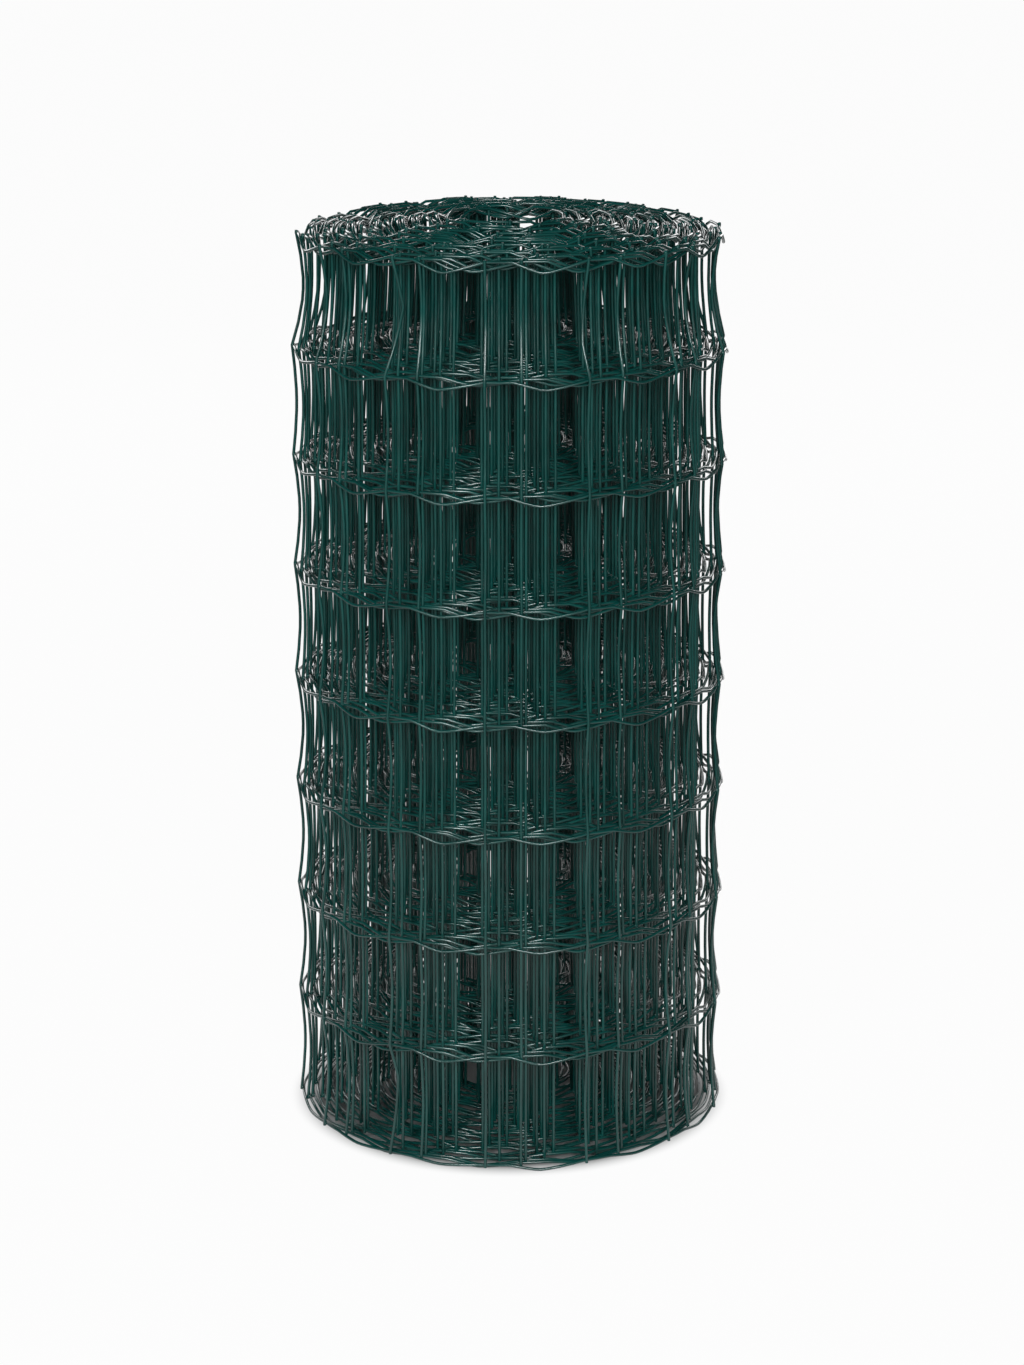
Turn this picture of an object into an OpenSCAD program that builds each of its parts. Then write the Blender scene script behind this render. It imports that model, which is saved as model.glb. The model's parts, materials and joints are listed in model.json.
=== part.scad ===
// Roll of welded wire fencing, standing on its end.
// One length of plastic-coated welded mesh, wound up round an open core.
// The winding is a turned solid with its bore. Every turn shows on both ends as a wall as thick as the wire,
// and the outer turn carries its line wires and cross wires, and draws in between the line wires.
// Millimetres. The origin is on the axis of the roll, at the floor, and +Z runs up the roll.

/* [Mesh] */
// Height of a mesh opening, from line wire to line wire
cell_h = 100; // [50:1:150]
// Width of a mesh opening, from cross wire to cross wire
cell_w = 89.5; // [50:0.5:150]
// Mesh openings from the lower edge of the fence to the upper edge
cell_rows = 8; // [4:1:20]
// Diameter of the wire over its plastic coat
wire_d = 2.6; // [1.6:0.1:4]
// Depth to which two crossing wires are melted into each other at a weld
weld_sink = 0.7; // [0.3:0.1:0.9]
// Depth of the downward crimp in the middle of each opening of a line wire
crimp_d = 5; // [1:0.5:10]
// Depth to which the outer turn draws in between two line wires
bow_d = 4; // [1:0.5:5]
// Length of the cut cross wires beyond the edge line wires
stub_l = 2; // [1.5:0.5:5]

/* [Winding] */
// Diameter over the cross wires of the outer turn
roll_d = 392; // [250:1:600]
// Diameter of the open core
core_d = 86; // [50:1:150]
// Distance from one turn to the next
turn_pitch = 4.5; // [4:0.1:16]
// Depth of the open gaps between the turns at each end
gap_depth = 6; // [4:1:12]
// Height by which the innermost turn stands above the outer turn
core_rise = 15; // [0:0.5:25]
// Direction in which the free end of the mesh lies, seen from above
seam_a = 63; // [0:0.5:359.5]

/* [Hidden] */
$fn = 96;

// Heights of the edge line wires, whose crimps touch the floor, and of the whole fence
lower_edge_z = crimp_d + wire_d / 2;
upper_edge_z = lower_edge_z + cell_rows * cell_h;
fence_h = upper_edge_z + wire_d / 2;

// Radii from the outside in: cross wires, line wires, wall of the outer turn
weld_step = wire_d - weld_sink;
turn_t = wire_d;
cross_r = (roll_d - wire_d) / 2;
line_r = cross_r - weld_step;
wall_r = line_r - wire_d / 2 + weld_sink;
rim_r = wall_r - turn_t;
core_r = core_d / 2;

// Radius of the bow of the outer turn, an arc from line wire to line wire
bow_r = (cell_h * cell_h / 4 + bow_d * bow_d) / (2 * bow_d);

// Cross wires of the outer turn, counted back from the free end
cell_a = 180 / PI * cell_w / line_r;
cross_n = floor(360 / cell_a);

// The inner turns are a spiral of half rings, drawn from two centres on either side of the axis
half_step = turn_pitch / 2;
centre_x = turn_pitch / 4;
core_ledge = 1;
rim_merge = turn_t / 4;
outer_half_r = wall_r - rim_merge - turn_t / 2 - centre_x;
inner_half_r = core_r + core_ledge + turn_t / 2 + centre_x;
half_n = floor((outer_half_r - inner_half_r) / half_step) + 1;

// Height that a half ring stands above the outer turn, counted from the outside in
function rise(i) = core_rise * (i + 1) / half_n;

// Section of the winding: the bore, the two open ends and the rim of the outer turn
module winding_section() {
    low = core_rise + gap_depth;
    high = fence_h - gap_depth;
    polygon([
        [core_r, low],
        [rim_r, low],
        [rim_r, 0],
        [wall_r, 0],
        [wall_r, fence_h],
        [rim_r, fence_h],
        [rim_r, high],
        [core_r, high]
    ]);
}

// The bows between the line wires, as far as they reach in from a given radius
module bow_sections(r) {
    for (row = [0:cell_rows - 1])
        translate([r - bow_d + bow_r, lower_edge_z + (row + 0.5) * cell_h])
            circle(bow_r);
}

// Line wires of the outer turn, bedded in its wall, with flat sides that weld to the cross wires
module line_wire_sections() {
    for (row = [0:cell_rows])
        translate([line_r, lower_edge_z + row * cell_h])
            square(wire_d, center = true);
}

// Half a turn of the mesh as a wall, as high as the fence
module half_turn(i) {
    outer_half = i % 2 == 0;
    rotate(seam_a)
        translate([outer_half ? centre_x : -centre_x, 0, rise(i)])
            rotate(outer_half ? 180 : 0)
                rotate_extrude(angle = 180)
                    translate([outer_half_r - i * half_step - turn_t / 2, 0])
                        square([turn_t, fence_h]);
}

// Half section of a bowed cylinder, as high as the cross wires
module bowed_section(r) {
    difference() {
        translate([0, lower_edge_z - stub_l])
            square([r, upper_edge_z - lower_edge_z + 2 * stub_l]);
        bow_sections(r);
    }
}

// One cross wire of the outer turn, with its bows and its cut ends
module cross_wire(i) {
    rotate([90, 0, seam_a - i * cell_a])
        linear_extrude(wire_d, center = true)
            difference() {
                bowed_section(roll_d / 2);
                bowed_section(roll_d / 2 - wire_d);
            }
}

module fence_roll() {
    color("#14503f")
        union() {
            difference() {
                union() {
                    rotate_extrude() winding_section();
                    for (i = [0:half_n - 1]) half_turn(i);
                }
                rotate_extrude() bow_sections(wall_r);
            }
            rotate_extrude() line_wire_sections();
            for (i = [0:cross_n - 1]) cross_wire(i);
        }
}

fence_roll();
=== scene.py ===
# %% [markdown]
# # A roll of welded wire fencing
# The real thing is one length of welded mesh. Line wires run along the fence, cross wires stand upright
# on them, every crossing is welded, and the whole mesh is then coated in green plastic and wound into a
# roll.
#
# The solid model has the size of the roll, its open core and its place on the floor, but it is closed
# between its two ends. This lesson makes the wires themselves. The solid model is loaded first, because
# every wire has to keep to its size. It comes in selected, and an operator acts on all that is selected,
# so everything is deselected before the first piece is made.

# %% Load the frame
import json
import math
import random

import bpy
from mathutils import Matrix, Vector


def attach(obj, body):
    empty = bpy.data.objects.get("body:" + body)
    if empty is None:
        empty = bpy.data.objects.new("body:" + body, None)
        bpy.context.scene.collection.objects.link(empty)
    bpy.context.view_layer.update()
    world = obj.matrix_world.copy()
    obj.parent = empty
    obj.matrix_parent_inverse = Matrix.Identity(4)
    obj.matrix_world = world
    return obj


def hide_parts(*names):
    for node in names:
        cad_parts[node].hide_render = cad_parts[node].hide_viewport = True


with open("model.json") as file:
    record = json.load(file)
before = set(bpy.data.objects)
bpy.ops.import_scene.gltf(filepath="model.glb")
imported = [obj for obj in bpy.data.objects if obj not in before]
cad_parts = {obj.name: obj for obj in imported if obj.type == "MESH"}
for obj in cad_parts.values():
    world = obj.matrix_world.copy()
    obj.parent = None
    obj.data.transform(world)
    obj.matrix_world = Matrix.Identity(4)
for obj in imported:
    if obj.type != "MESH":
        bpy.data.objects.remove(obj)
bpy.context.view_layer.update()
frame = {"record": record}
bpy.ops.object.select_all(action="DESELECT")

# %% [markdown]
# ## Sizes of the mesh
# Fence of this kind is known by the size of its openings. An opening is 100 mm high from line wire to
# line wire and a little narrower, because the crimps in the line wires draw it in. The cross wires lie
# on the outside of the line wires, and each weld sinks the two into each other.
#
# The wires could be placed by eye, but then no size could be changed later. So each size is written
# once, as a real one in millimetres, and turned into Blender's metres.

# %% Sizes of the mesh
MM = 0.001
cell_height = 100 * MM
cell_width = 89.6 * MM
cell_rows = 8
wire_d = 2.6 * MM
weld_sink = 0.7 * MM
weld_step = wire_d - weld_sink
# Lengths by which the cross wires and the line wires run on past their last weld
cut_length = 2 * MM
end_length = 15 * MM
# Room under the lowest line wire for its crimps
crimp_room = 5 * MM
lower_edge = crimp_room + wire_d / 2
row_heights = [lower_edge + row * cell_height for row in range(cell_rows + 1)]
print("line wires at", [round(z / MM, 1) for z in row_heights], "mm")

# %% [markdown]
# ## The shape of the winding
# A roll could be drawn as rings inside one another, but a real one is a single spiral. It is wound
# tight: the line wires of one turn lie on the cross wires of the turn inside it, so the radius falls by
# nearly two wires with each turn. Lying about has pressed it a little out of round, and some turns are
# slacker than others.
#
# A formula gives the radius for any angle. That is better than a spiral drawn by hand, because every
# wire, weld and cut end can be placed by it.

# %% Shape of the winding
turn_pitch = 4.5 * MM
end_radius = 194.8 * MM
core_clearance = 4 * MM
core_radius = frame["record"]["mounts"][0]["dims"]["r_mm"] * MM + core_clearance
out_of_round = 0.4 * MM
oval_phase = 0.9
three_sided_share = 0.6
three_sided_phase = 2.1
slack = 0.38 * MM
# Turns in which the slack comes and goes once
slack_turns = 11.25
slack_phase = 5.02


def turn_radius(turned):
    """Radius of the line wires where the mesh has turned this far in from its free end."""
    oval = math.sin(2 * turned + oval_phase)
    three_sided = math.sin(3 * turned + three_sided_phase)
    pressed = oval + three_sided_share * three_sided
    loose = math.sin(turned / slack_turns + slack_phase)
    return end_radius - turn_pitch * turned / math.tau + out_of_round * pressed + slack * loose


print(f"radius {turn_radius(0) / MM:.1f} mm at the free end, {core_radius / MM:.1f} mm at the core")

# %% [markdown]
# ## Along the spiral
# The wires are measured along the mesh, as on the fence before it is wound, but the roll needs angles.
# The length of a spiral has no short formula. So the spiral is walked once in steps of a millimetre,
# from its free end to the core, and the angle at each step is kept. Any length is then looked up between
# two steps.

# %% Walk along the spiral
walk_step = 1 * MM
seam_angle = math.radians(63)
walked = [0.0]
while turn_radius(walked[-1]) > core_radius:
    walked.append(walked[-1] + walk_step / turn_radius(walked[-1]))


def turned_after(length):
    """How far the mesh has turned after this length from its free end."""
    steps = min(max(length / walk_step, 0), len(walked) - 2)
    whole = int(steps)
    return walked[whole] + (steps - whole) * (walked[whole + 1] - walked[whole])


def facing(length):
    """The direction from the axis, as an angle, in which this length of the mesh lies."""
    return seam_angle - (turned_after(length) - turned_after(end_length))


walked_length = (len(walked) - 2) * walk_step
cross_count = int((walked_length - 2 * end_length) / cell_width) + 1
mesh_length = 2 * end_length + (cross_count - 1) * cell_width
print(f"{mesh_length:.2f} m of mesh in {walked[-1] / math.tau:.1f} turns, {cross_count} cross wires")

# %% [markdown]
# ## From the flat mesh to the roll
# On the real roll the inner turns have been pushed up, the back of the outer turns stands a little
# higher than the front, and the top edge is drawn in.
#
# A Curve modifier could roll a flat mesh up along a spiral, but it moves all heights alike, so it
# couldn't draw in the top edge alone. Instead one function takes a point of the flat mesh, given as its
# length from the free end, its distance outwards and its height, to its place on the roll.

# %% From the flat mesh to the roll
core_rise = 15 * MM
back_rise = 4.5 * MM
# Share of the radius that the top edge loses over the highest opening
top_draw = 0.025


def wound(length, out, up):
    """The place on the roll of a point of the flat mesh."""
    turned = turned_after(length)
    angle = facing(length)
    drawn_in = top_draw * max(0, (up - row_heights[-2]) / cell_height)
    radius = (turn_radius(turned) + out) * (1 - drawn_in)
    wound_in = turned / walked[-1]
    at_back = max(0, math.sin(angle)) ** 2
    rise = core_rise * wound_in + back_rise * (1 - wound_in) * at_back
    return Vector((radius * math.cos(angle), radius * math.sin(angle), up + rise))


print("free end of the mesh at", wound(0, 0, lower_edge))

# %% [markdown]
# ## Colours and nodes
# A colour is written as its sRGB hex value, as it is read off a colour card. Blender works in linear
# light, so one function turns the one into the other.
#
# Materials are made of nodes. They could be put together by hand in the Shader Editor, but a script can
# be run again. One small function adds a node and sets it, and where a setting is another node's output,
# it is linked.


# %% Colour and node helpers
def linear(hex_colour):
    """A colour in linear light from its sRGB hex value."""
    channels = [int(hex_colour[i : i + 2], 16) / 255 for i in (1, 3, 5)]
    return [c / 12.92 if c <= 0.04045 else ((c + 0.055) / 1.055) ** 2.4 for c in channels] + [1.0]


def add_node(tree, kind, settings):
    """Adds a node and sets its properties and inputs, by name or by number. An output is linked."""
    node = tree.nodes.new(kind)
    for key, value in settings.items():
        if not isinstance(key, int) and key not in node.inputs:
            setattr(node, key, value)
        elif isinstance(value, bpy.types.NodeSocket):
            tree.links.new(value, node.inputs[key])
        else:
            node.inputs[key].default_value = value
    return node


def new_material(name):
    """A material with no nodes in it."""
    material = bpy.data.materials.new(name)
    material.use_nodes = True
    material.node_tree.nodes.clear()
    return material


print("mid grey in linear light:", [round(channel, 3) for channel in linear("#808080")])

# %% [markdown]
# ## The plastic coat
# The steel wire is coated in green PVC that is sintered on. That gives a soft gloss, a slightly uneven
# skin, darker and lighter stretches, and a dull bloom in places.
#
# One plain colour would look like paint, and a picture of plastic would need hundreds of wires to be
# unwrapped. Noise textures need neither. Each is scaled from the real size of what it shows, and reads
# Object coordinates, so that it stays where it is on the roll.

# %% Colour of the coat
# Noise hardly ever leaves this range
noise_low = 0.3
noise_high = 0.7
cloud_size = 35 * MM
coat = new_material("green_pvc_coat")
tree = coat.node_tree
place = add_node(tree, "ShaderNodeTexCoord", {}).outputs["Object"]
clouds = add_node(tree, "ShaderNodeTexNoise", {"Vector": place, "Scale": 1 / cloud_size, "Detail": 3.0})
shade = add_node(tree, "ShaderNodeValToRGB", {"Fac": clouds.outputs["Fac"]})
dark_stop, light_stop = shade.color_ramp.elements
dark_stop.position = noise_low
dark_stop.color = linear("#022b28")
light_stop.position = noise_high
light_stop.color = linear("#073b37")
print("clouds in the coat every", cloud_size / MM, "mm")

# %% Gloss and skin of the coat
# Sintered PVC looks wet where it is smooth and dull where it has bloomed
bloom_size = 12 * MM
gloss_roughness = 0.17
bloom_roughness = 0.27
# The real skin is finer, and is drawn this coarse so that it shows
skin_size = 2.5 * MM
skin_depth = 0.2 * MM
skin_strength = 0.15
bloom_noise = add_node(tree, "ShaderNodeTexNoise", {"Vector": place, "Scale": 1 / bloom_size, "Detail": 4.0})
bloom = add_node(
    tree,
    "ShaderNodeMapRange",
    {
        "Value": bloom_noise.outputs["Fac"],
        "From Min": noise_low,
        "From Max": noise_high,
        "To Min": gloss_roughness,
        "To Max": bloom_roughness,
    },
)
skin_noise = add_node(tree, "ShaderNodeTexNoise", {"Vector": place, "Scale": 1 / skin_size, "Detail": 2.0})
skin = add_node(
    tree,
    "ShaderNodeBump",
    {"Strength": skin_strength, "Distance": skin_depth, "Height": skin_noise.outputs["Fac"]},
)
plastic = add_node(
    tree,
    "ShaderNodeBsdfPrincipled",
    {
        "Base Color": shade.outputs["Color"],
        "Roughness": bloom.outputs["Result"],
        "Normal": skin.outputs["Normal"],
        "IOR": 1.5,
        "Specular IOR Level": 0.5,
    },
)
add_node(tree, "ShaderNodeOutputMaterial", {"Surface": plastic.outputs["BSDF"]})
print("made", coat.name, "with roughness", gloss_roughness, "to", bloom_roughness)

# %% [markdown]
# ## From points to round wire
# A wire is a line of points with a round section. It could be a bent cylinder, but each of the hundreds
# of bends would have to be made by hand. A curve's bevel gives the same wire from its points alone, so
# each wire is one spline, and the wires of a piece share one curve, which is then turned into a mesh.
#
# The section has eight sides, which is enough for so thin a wire and keeps the piece light. Such a
# section lies inside its circle, so the wire is made a little thicker to look as thick as the real one.

# %% Round wire
flat_allowance = 1.05
section_steps = 2
smooth_angle = math.radians(60)


def select_only(piece):
    """Leaves this piece alone selected and active, so that an operator acts on nothing else."""
    bpy.ops.object.select_all(action="DESELECT")
    piece.select_set(True)
    bpy.context.view_layer.objects.active = piece


def finish_piece(piece, material, count):
    """Smooths a piece, gives it its material, lets it ride on the roll and prints what it holds."""
    select_only(piece)
    bpy.ops.object.shade_smooth_by_angle(angle=smooth_angle)
    piece.data.materials.append(material)
    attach(piece, "root")
    triangles = sum(len(face.vertices) - 2 for face in piece.data.polygons)
    print(piece.name, "with", count, "in one mesh,", triangles, "triangles")


def round_wires(name, paths):
    """One piece of round wires with flat cut ends, one along each path."""
    curve = bpy.data.curves.new(name, "CURVE")
    curve.dimensions = "3D"
    curve.bevel_depth = wire_d / 2 * flat_allowance
    curve.bevel_resolution = section_steps
    curve.use_fill_caps = True
    for path in paths:
        spline = curve.splines.new("POLY")
        spline.points.add(len(path) - 1)
        for spot, point in zip(spline.points, path):
            spot.co = (*point, 1.0)
    wires = bpy.data.objects.new(name, curve)
    bpy.context.collection.objects.link(wires)
    select_only(wires)
    bpy.ops.object.convert(target="MESH")
    finish_piece(wires, coat, len(paths))
    return wires


print(f"wire {wire_d * flat_allowance / MM:.2f} mm over its corners")

# %% [markdown]
# ## Line wires
# Each line wire has one crimp in every opening, a soft V that points down and keeps the fence tight when
# it is strained. One flank is longer than the other. The lowest wire has shallow crimps and the top one
# deep ones.
#
# A wave along the whole wire would be quicker, but it would have no flat stretch at the welds. So each
# crimp is laid out from a few stops along its two flanks, with a rounded tip, and each differs a little
# in depth and place. A slow waver keeps the wires from looking ruled.

# %% Waver and crimps
random.seed(5)
waver_height = 0.5 * MM
slow_waver = 310 * MM
quick_waver = 127 * MM
waver_phases = [random.uniform(0, math.tau) for row in row_heights]
# Place of the tip, as a share of the opening's width
crimp_share = 0.445
share_spread = 0.03
# Rounding of the tip, and stops from the long flank to the steep one, as shares of a flank
tip_round = 0.18
crimp_stops = [-0.7, -0.4, -0.15, 0, 0.2, 0.5, 0.8, 1]
steep_flank = 27 * MM
crimp_depths = [3.8 * MM] + [6.5 * MM] * (cell_rows - 1) + [9.5 * MM]
crimp_spread = 1.2 * MM


def row_height(row, length):
    """Height of a line wire between its crimps. The lowest wire stands level."""
    slow = math.sin(length / slow_waver + waver_phases[row])
    quick = math.sin(length / quick_waver + 2 * waver_phases[row])
    return row_heights[row] + (waver_height * (slow + quick) if row else 0)


def crimp(stop):
    """Depth of the crimp, as a share, at a share of its flank from the tip."""
    return 1 - (math.hypot(stop, tip_round) - tip_round) / (math.hypot(1, tip_round) - tip_round)


print("crimp along its flanks:", [round(crimp(stop), 2) for stop in crimp_stops])


# %% Line wires
def line_wire(row):
    """The points of one line wire from the free end to the core."""
    points = [wound(0, 0, row_height(row, 0))]
    for cell in range(cross_count):
        start = end_length + cell * cell_width
        points.append(wound(start, 0, row_height(row, start)))
        if cell == cross_count - 1:
            break
        depth = crimp_depths[row] + random.uniform(-crimp_spread, crimp_spread)
        long_flank = (crimp_share + random.uniform(-share_spread, share_spread)) * cell_width
        for stop in crimp_stops:
            length = start + long_flank + stop * (steep_flank if stop > 0 else long_flank)
            points.append(wound(length, 0, row_height(row, length) - depth * crimp(stop)))
        flat = (length + start + cell_width) / 2
        points.append(wound(flat, 0, row_height(row, flat)))
    points.append(wound(mesh_length, 0, row_height(row, mesh_length)))
    return points


line_paths = [line_wire(row) for row in range(cell_rows + 1)]
round_wires("line_wires_lower", line_paths[:3])
middle_wires = round_wires("line_wires_middle", line_paths[3:6])
round_wires("line_wires_upper", line_paths[6:])
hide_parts("fence_roll")

# %% [markdown]
# ## Bows and leans of the cross wires
# The cross wires stand on the outside of the line wires. Winding pulls them in between two line wires,
# most of all in the top opening, so the outline of the roll is wavy. The inner turns are held by the
# turns round them and bow less. No wire stands quite upright, and in front a few lean at the top edge or
# are knocked sideways.
#
# Straight cylinders would be simple, but the bows and the bent wires are what makes the roll look
# handled. The leans are kept in a table of wires and line wires, so that the welds can follow them.

# %% Bows and leans
random.seed(11)
bow_depth = 4.5 * MM
top_bow_depth = 8.5 * MM
bow_spread = 0.25
bow_stops = [0.2, 0.4, 0.6, 0.8]
# Share of the bow that is left at the core, and the turns in which it fades
bow_left = 0.2
bow_fade_turns = 1.2
lean_spread = 0.25 * MM
# Sideways steps of leaning wires, by cross wire and line wire, both counted from 0
leaning = {(4, 8): 9 * MM, (7, 8): -5 * MM}
# Knocked wires by cross wire and opening: share of the opening's height and sideways step
knocked = {(7, 7): (0.58, -9 * MM), (7, 0): (0.7, -6 * MM), (5, 7): (0.3, 4 * MM)}
cross_leans = [
    [random.uniform(-lean_spread, lean_spread) for row in row_heights] for wire in range(cross_count)
]
for (wire, row), lean in leaning.items():
    cross_leans[wire][row] += lean


def tension(length):
    """How much of the full bow the winding leaves in the cross wires at this length."""
    turns = turned_after(length) / math.tau
    return bow_left + (1 - bow_left) * min(1, math.exp(1 - turns / bow_fade_turns))


inner_bow = bow_depth * tension(mesh_length)
print(f"bow {bow_depth / MM:.1f} mm on the outer turn, {inner_bow / MM:.1f} mm at the core")

# %% [markdown]
# ## Nesting of the inner wires
# In a tight roll the wires of one turn settle into the gaps of the next, and hardly any light comes
# through. With evenly spaced cross wires the spiral lines many of them up behind one another instead,
# and leaves open slits.
#
# The inner wires could be scattered at random, but then they bunch as often as they close a gap. So the
# roll is looked at from the front in narrow columns. Wire by wire, each inner one is tried a few
# millimetres to either side, and stays where it closes most columns that are still open. In front of the
# open core the two halves of the roll are closed one by one, so that the core stays dark. The wires of
# the outer turn, which are seen one by one, keep their place.

# %% Columns seen from the front
column = 0.2 * MM
column_count = 2000
front_closed = [False] * column_count
back_closed = [False] * column_count
# Metres from which the roll is looked at
eye_far = 3.2
# Share of its bow by which most of a wire stands in
usual_bow = 0.7


def hidden_columns(length):
    """Where a cross wire stands, and the columns that it hides from the front."""
    spot = wound(length, weld_step - usual_bow * bow_depth * tension(length), 0)
    shrink = eye_far / (eye_far + spot.y)
    first = round((spot.x - wire_d / 2) * shrink / column) + column_count // 2
    return spot, range(first, first + round(wire_d * shrink / column))


def newly_closed(length):
    """How many open columns a cross wire closes here, in its half of the roll and right through it."""
    spot, columns = hidden_columns(length)
    half = back_closed if spot.y > 0 else front_closed
    own = sum(not half[c] for c in columns)
    through = sum(not (front_closed[c] or back_closed[c]) for c in columns)
    return (own, through) if abs(spot.x) < core_radius else (through, own)


print(column_count, "columns over", round(column * column_count / MM), "mm")

# %% Slide the inner wires
shown_wires = 15
nest_reach = 6 * MM
nest_steps = 12
# Columns at each edge that are left out of the count
edge_columns = 100
for wire in range(cross_count):
    length = end_length + wire * cell_width
    steps = range(-nest_steps, nest_steps + 1) if wire >= shown_wires else [0]
    nests = [step * nest_reach / nest_steps for step in steps]
    nest = max(nests, key=lambda n: (*newly_closed(length + n), -abs(n)))
    spot, columns = hidden_columns(length + nest)
    for c in columns:
        (back_closed if spot.y > 0 else front_closed)[c] = True
    cross_leans[wire] = [lean + nest for lean in cross_leans[wire]]
still_open = [not (front or back) for front, back in zip(front_closed, back_closed)]
still_open = still_open[edge_columns:-edge_columns]
print(f"{sum(still_open) / len(still_open):.1%} of the width is left open between the wires")

# %% [markdown]
# ## Cross wires
# With leans, bows and nests settled, each cross wire is bent in one go, from its lower cut end to its
# upper one. A bow could be an arc, but half a sine wave is as good at this size and needs no centre. A
# knocked wire goes straight to its bend and straight back. The wires of the outer turns and of the inner
# ones are two pieces, so that each stays light.


# %% Bend the cross wires
def cross_wire(wire):
    """The points of one cross wire from its lower cut end to its upper one."""
    length = end_length + wire * cell_width
    leans = cross_leans[wire]
    points = [wound(length + leans[0], weld_step, row_height(0, length) - cut_length)]
    for row in range(cell_rows):
        low = row_height(row, length)
        high = row_height(row + 1, length)
        points.append(wound(length + leans[row], weld_step, low))
        depth = top_bow_depth if row == cell_rows - 1 else bow_depth
        depth *= tension(length) * (1 + random.uniform(-bow_spread, bow_spread))
        peak, knock = knocked.get((wire, row), (0.5, 0))
        for share in sorted([*bow_stops, peak]):
            lean = leans[row] + share * (leans[row + 1] - leans[row])
            side = knock * min(share / peak, (1 - share) / (1 - peak))
            out = weld_step - depth * math.sin(math.pi * share)
            points.append(wound(length + lean + side, out, low + share * (high - low)))
    points.append(wound(length + leans[-1], weld_step, high))
    points.append(wound(length + leans[-1], weld_step, high + cut_length))
    return points


outer_turns_wires = 90
cross_paths = [cross_wire(wire) for wire in range(cross_count)]
round_wires("cross_wires_outer", cross_paths[:outer_turns_wires])
round_wires("cross_wires_inner", cross_paths[outer_turns_wires:])

# %% [markdown]
# ## Welds
# At each crossing the two wires are melted into each other, and the plastic coat fills the corners
# between them. The corners could be filled with fillets, but there are thousands of them, and each is
# smaller than a grain of rice. One small bead, a ball pressed to the size of a crossing, is modelled
# instead and copied to every crossing. Its copies are joined into one mesh from lists of points and
# faces, because adding them one by one would be slow.


# %% Joined copies
def joined_copies(name, pattern, places, material):
    """One piece of copies of the pattern, each moved by its own matrix."""
    points = []
    faces = []
    for place in places:
        start = len(points)
        points.extend(place @ vertex.co for vertex in pattern.data.vertices)
        faces.extend([start + corner for corner in face.vertices] for face in pattern.data.polygons)
    bpy.data.objects.remove(pattern)
    mesh = bpy.data.meshes.new(name)
    mesh.from_pydata(points, [], faces)
    copies = bpy.data.objects.new(name, mesh)
    bpy.context.collection.objects.link(copies)
    finish_piece(copies, material, len(places))
    return copies


print("crossings to weld:", cross_count * (cell_rows + 1))

# %% Weld beads
bead_wide = 3.8 * MM
bead_deep = 4.2 * MM
bead_sides = 6
bead_rings = 4
bpy.ops.object.select_all(action="DESELECT")
bpy.ops.mesh.primitive_uv_sphere_add(segments=bead_sides, ring_count=bead_rings, radius=0.5)
bead = bpy.context.object
bead.scale = (bead_deep, bead_wide, bead_wide)
bpy.ops.object.transform_apply(scale=True)
bead_places = []
for wire in range(cross_count):
    length = end_length + wire * cell_width
    for row in range(cell_rows + 1):
        spot = wound(length + cross_leans[wire][row], weld_step / 2, row_height(row, length))
        bead_places.append(Matrix.Translation(spot) @ Matrix.Rotation(facing(length), 4, "Z"))
beads = joined_copies("weld_beads", bead, bead_places, coat)

# %% [markdown]
# ## Bare steel
# The mesh is cut after it is coated, so every wire shows its galvanised steel on the cut ends. Shears
# leave a face that is part bright and part torn. A metal shows its surroundings, so it needs no pattern
# of colour, only a roughness that changes from spot to spot.

# %% Sheared steel
# Galvanised steel under the shears: a light grey metal, brighter and duller in streaks.
# The real marks are finer, and are drawn this coarse so that they show.
shear_size = 0.8 * MM
bright_roughness = 0.3
torn_roughness = 0.5
steel = new_material("sheared_galvanised_steel")
tree = steel.node_tree
place = add_node(tree, "ShaderNodeTexCoord", {}).outputs["Object"]
shear_noise = add_node(tree, "ShaderNodeTexNoise", {"Vector": place, "Scale": 1 / shear_size, "Detail": 2.0})
shear_marks = add_node(
    tree,
    "ShaderNodeMapRange",
    {
        "Value": shear_noise.outputs["Fac"],
        "From Min": noise_low,
        "From Max": noise_high,
        "To Min": bright_roughness,
        "To Max": torn_roughness,
    },
)
metal = add_node(
    tree,
    "ShaderNodeBsdfPrincipled",
    {"Base Color": linear("#a3a8aa"), "Metallic": 1.0, "Roughness": shear_marks.outputs["Result"]},
)
add_node(tree, "ShaderNodeOutputMaterial", {"Surface": metal.outputs["BSDF"]})
print("made", steel.name, "with roughness", bright_roughness, "to", torn_roughness)

# %% [markdown]
# ## Cut ends
# On a cut end the steel shows as a disc, a little smaller than the coat, with its rim rolled over by the
# shears. The caps of the wires could take the steel themselves, but then the coat would have no edge. So
# a short cylinder is made, its upper face is drawn in to round the rim, and a copy is set on both ends
# of every wire, turned to point along it.

# %% Disc of a cut end
steel_d = 2 * MM
cut_proud = 0.2 * MM
disc_sides = 8
rolled_share = 0.75
bpy.ops.object.select_all(action="DESELECT")
bpy.ops.mesh.primitive_cylinder_add(vertices=disc_sides, radius=steel_d / 2, depth=2 * cut_proud)
disc = bpy.context.object
bpy.ops.object.mode_set(mode="EDIT")
bpy.ops.mesh.select_all(action="DESELECT")
bpy.ops.object.mode_set(mode="OBJECT")
top_face = max(disc.data.polygons, key=lambda face: face.center.z)
top_face.select = True
bpy.ops.object.mode_set(mode="EDIT")
bpy.ops.transform.resize(value=(rolled_share, rolled_share, 1))
bpy.ops.object.mode_set(mode="OBJECT")
print("disc of", len(disc.data.polygons), "faces,", round(disc.dimensions.x / MM, 2), "mm across")

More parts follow.
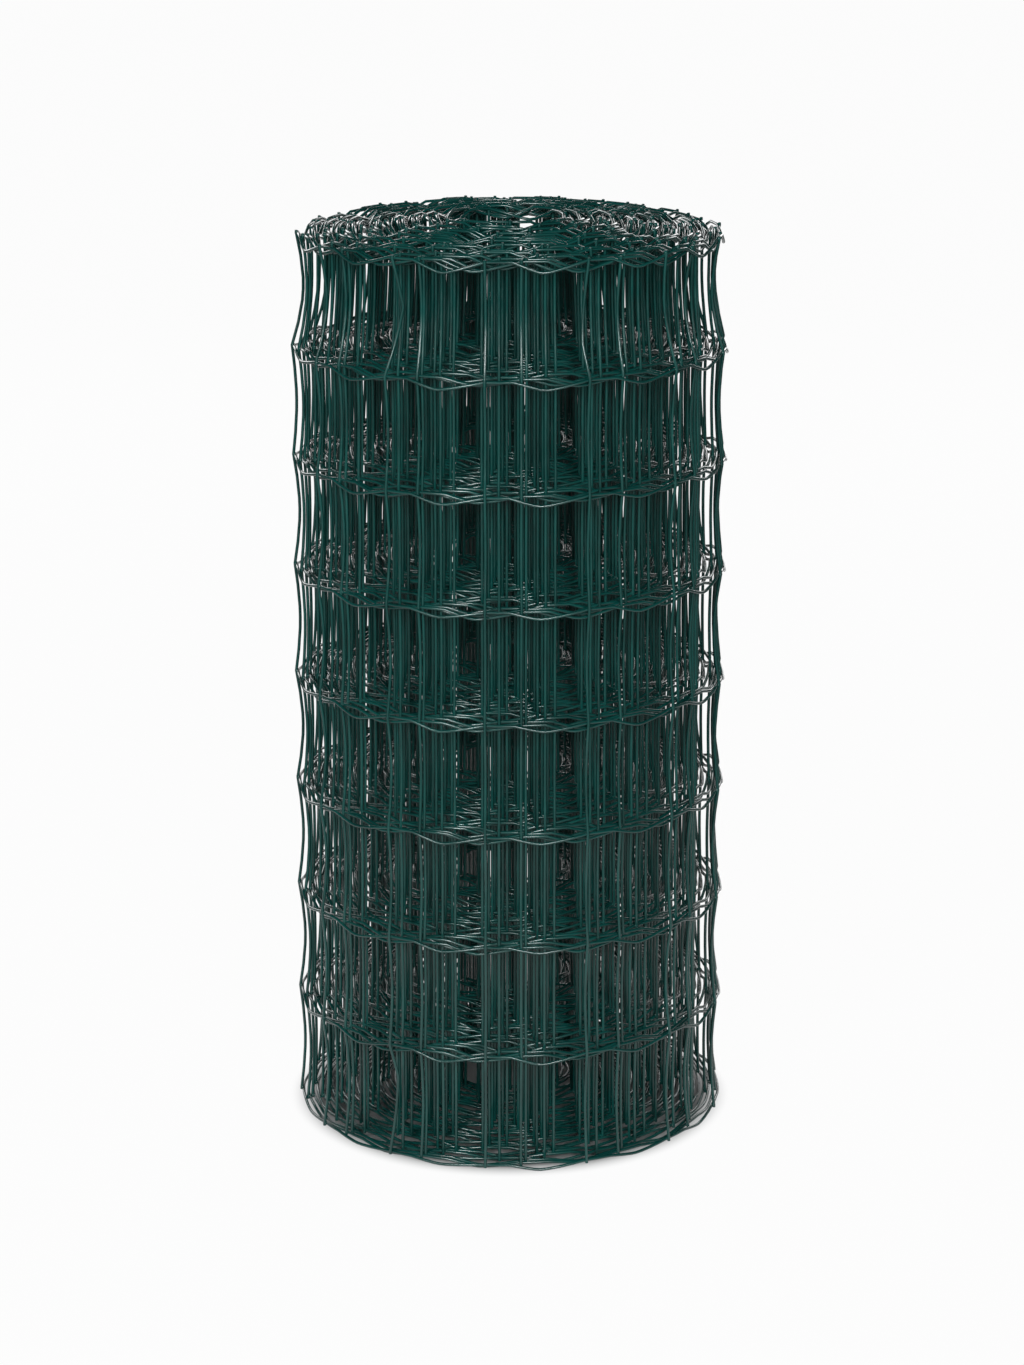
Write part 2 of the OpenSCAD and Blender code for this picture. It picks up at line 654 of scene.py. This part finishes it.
# %% Cut ends
end_places = []
for path in line_paths + cross_paths:
    for tip, before in ((path[0], path[1]), (path[-1], path[-2])):
        turn = (tip - before).to_track_quat("Z", "Y").to_matrix().to_4x4()
        end_places.append(Matrix.Translation(tip) @ turn)
joined_copies("cut_ends", disc, end_places, steel)

# %% [markdown]
# ## What sees the white of the studio
# The roll stands on a white ground that runs into a white background. More light would make any floor
# white, but it would wash out the dark wire as well. So the white is shown only to the rays that look at
# it.
#
# The camera sees white everywhere. Gloss and glass see it only where a real studio has something white
# to mirror, because with white all round the gloss turns the dark wires grey.

# %% Rays that see white
studio_white = linear("#ffffff")


def white_rays(tree, shown):
    """The rays that see white: all from the camera, and off gloss or through glass where it is shown."""
    path = add_node(tree, "ShaderNodeLightPath", {})
    bounced = add_node(
        tree,
        "ShaderNodeMath",
        {"operation": "MAXIMUM", 0: path.outputs["Is Glossy Ray"], 1: path.outputs["Is Transmission Ray"]},
    )
    kept = add_node(tree, "ShaderNodeMath", {"operation": "MULTIPLY", 0: bounced.outputs[0], 1: shown})
    every = add_node(
        tree,
        "ShaderNodeMath",
        {"operation": "MAXIMUM", 0: path.outputs["Is Camera Ray"], 1: kept.outputs[0]},
    )
    return every.outputs[0]


print("white of the studio in linear light:", studio_white)

# %% [markdown]
# ## The floor
# The gloss of the wires mirrors a white sheet that the roll stands on. It has a straight edge in front
# and one on either side, and runs on behind. It could be a plane of its own, but two planes in one place
# flicker, so it is drawn in the floor's paint: a spot is on the sheet where it lies inside the three
# edges.
#
# Under a tight roll the floor lies in shade. There the paint doesn't show white, so the matt paint shows
# the lamps' real shadow, and the white comes back over a painted shade that fades out at the foot of the
# roll. It goes by the distance from the axis, so it is the same from all sides.

# %% Sheet on the floor
sheet_front = -1.1
sheet_half = 0.68
floor_paint = new_material("white_floor_paint")
tree = floor_paint.node_tree
place = add_node(tree, "ShaderNodeTexCoord", {}).outputs["Object"]
split = add_node(tree, "ShaderNodeSeparateXYZ", {"Vector": place})
front = add_node(tree, "ShaderNodeMath", {"operation": "DIVIDE", 0: split.outputs["Y"], 1: sheet_front})
side = add_node(tree, "ShaderNodeMath", {"operation": "ABSOLUTE", 0: split.outputs["X"]})
flank = add_node(tree, "ShaderNodeMath", {"operation": "DIVIDE", 0: side.outputs[0], 1: sheet_half})
edge = add_node(tree, "ShaderNodeMath", {"operation": "MAXIMUM", 0: front.outputs[0], 1: flank.outputs[0]})
sheet = add_node(tree, "ShaderNodeMath", {"operation": "LESS_THAN", 0: edge.outputs[0], 1: 1.0})
print("sheet", 2 * sheet_half, "m wide, to", -sheet_front, "m in front of the axis")

# %% Shade under the roll
shade_inner = 170 * MM
shade_outer = 205 * MM
white_share = 0.97
reach = add_node(tree, "ShaderNodeVectorMath", {"operation": "LENGTH", 0: place})
# Painted shade under the roll: no white within shade_inner of the axis, the full white share past
# shade_outer
clear = add_node(
    tree,
    "ShaderNodeMapRange",
    {
        "interpolation_type": "SMOOTHSTEP",
        "Value": reach.outputs["Value"],
        "From Min": shade_inner,
        "From Max": shade_outer,
        "To Max": white_share,
    },
)
print("shade from", round(shade_inner / MM), "to", round(shade_outer / MM), "mm from the axis")

# %% White floor paint
# Matt paint, in which the lamps' light and shadow show, with the white of the studio over most of it
floor_size = 60
white_seen = white_rays(tree, sheet.outputs[0])
seen = add_node(tree, "ShaderNodeMath", {"operation": "MULTIPLY", 0: white_seen, 1: clear.outputs["Result"]})
matt = add_node(tree, "ShaderNodeBsdfDiffuse", {"Color": linear("#8a8c8c")})
glow = add_node(tree, "ShaderNodeEmission", {"Color": studio_white, "Strength": 1.0})
mixed = add_node(
    tree, "ShaderNodeMixShader", {"Fac": seen.outputs[0], 1: matt.outputs[0], 2: glow.outputs[0]}
)
add_node(tree, "ShaderNodeOutputMaterial", {"Surface": mixed.outputs[0]})
bpy.ops.mesh.primitive_plane_add(size=floor_size, location=(0, 0, 0))
floor = bpy.context.object
floor.name = "studio_floor"
floor.data.materials.append(floor_paint)
print(floor.name, floor_size, "m wide")

# %% [markdown]
# ## The room
# Round the floor stand low white walls under a dark ceiling, and the gloss of the wires mirrors those as
# well as the sheet. They could be modelled as planes, but planes would stand in the way of other views,
# so they are drawn in the world instead, by how steeply a ray leaves. The world adds hardly any light of
# its own.

# %% World
wall_top = math.radians(3)
wall_fade = math.radians(6)
room_light = 0.01
world = bpy.data.worlds.new("studio_white")
world.use_nodes = True
bpy.context.scene.world = world
tree = world.node_tree
tree.nodes.clear()
place = add_node(tree, "ShaderNodeTexCoord", {}).outputs["Generated"]
split = add_node(tree, "ShaderNodeSeparateXYZ", {"Vector": place})
wall = add_node(
    tree,
    "ShaderNodeMapRange",
    {
        "Value": split.outputs["Z"],
        "From Min": math.sin(wall_top),
        "From Max": math.sin(wall_top + wall_fade),
        "To Min": 1.0,
        "To Max": 0.0,
    },
)
dim = add_node(tree, "ShaderNodeBackground", {"Color": studio_white, "Strength": room_light})
white = add_node(tree, "ShaderNodeBackground", {"Color": studio_white, "Strength": 1.0})
white_seen = white_rays(tree, wall.outputs["Result"])
mixed = add_node(tree, "ShaderNodeMixShader", {"Fac": white_seen, 1: dim.outputs[0], 2: white.outputs[0]})
add_node(tree, "ShaderNodeOutputWorld", {"Surface": mixed.outputs[0]})
print("white walls up to", round(math.degrees(wall_top)), "degrees, room light", room_light)

# %% [markdown]
# ## Lamps
# In the photograph two rows of glints run down the rings of line wires, so two lamps stand in front of
# the roll, left and right of the camera. A round wire glints half-way between the lamp and the camera,
# which gives their places. A sun would light the roll as well, but its glints would be hard points, so
# the lamps are upright softboxes. Two large, weak ones behind keep the far sides from going black.

# %% Softboxes
roll_middle = Vector((0, 0, 0.45))


def softbox(name, place, width, height, power):
    """An area lamp, in metres and watts, that faces the middle of the roll and isn't seen itself."""
    lamp = bpy.data.lights.new(name, "AREA")
    lamp.shape = "RECTANGLE"
    lamp.size = width
    lamp.size_y = height
    lamp.energy = power
    box = bpy.data.objects.new(name, lamp)
    box.location = place
    box.rotation_euler = (roll_middle - Vector(place)).to_track_quat("-Z", "Y").to_euler()
    box.visible_camera = False
    bpy.context.collection.objects.link(box)
    print(name, width, "by", height, "m,", power, "W")


softbox("front_left_softbox", place=(-1.68, -3.3, 1.7), width=0.7, height=1.2, power=130)
softbox("front_right_softbox", place=(0.77, -3.62, 1.7), width=0.8, height=1.2, power=120)
softbox("back_left_softbox", place=(-1.5, 3.4, 1.7), width=1.6, height=1.8, power=40)
softbox("back_right_softbox", place=(1.5, 3.4, 1.7), width=1.6, height=1.8, power=40)

# %% [markdown]
# ## Camera
# The photograph looks down on the roll and still shows its sides upright, as a shifted lens does. A
# shift that large would push the roll out of the frame in views from other sides. So the camera is
# tilted down instead, and shifted only as far as the framing needs. Its distance, height and pitch are
# fitted to the places of the wires in the photograph, and its focal length is written in the
# photograph's pixels.

# %% Camera
frame_height_px = 1365
focal_px = 3494
aim_right_px = -2.2
aim_up_px = 220
camera_far = 3.067
camera_up = 1.247
camera_pitch = math.radians(11.97)
camera_data = bpy.data.cameras.new("camera")
camera_data.lens = focal_px * camera_data.sensor_width / frame_height_px
camera_data.shift_x = -aim_right_px / frame_height_px
camera_data.shift_y = -aim_up_px / frame_height_px
camera = bpy.data.objects.new("camera", camera_data)
camera.location = (0, -camera_far, camera_up)
camera.rotation_euler = (math.pi / 2 - camera_pitch, 0, 0)
bpy.context.collection.objects.link(camera)
bpy.context.scene.camera = camera
bpy.context.scene.view_settings.view_transform = "Standard"
print(f"lens {camera_data.lens:.1f} mm, {camera_far} m in front of the axis")
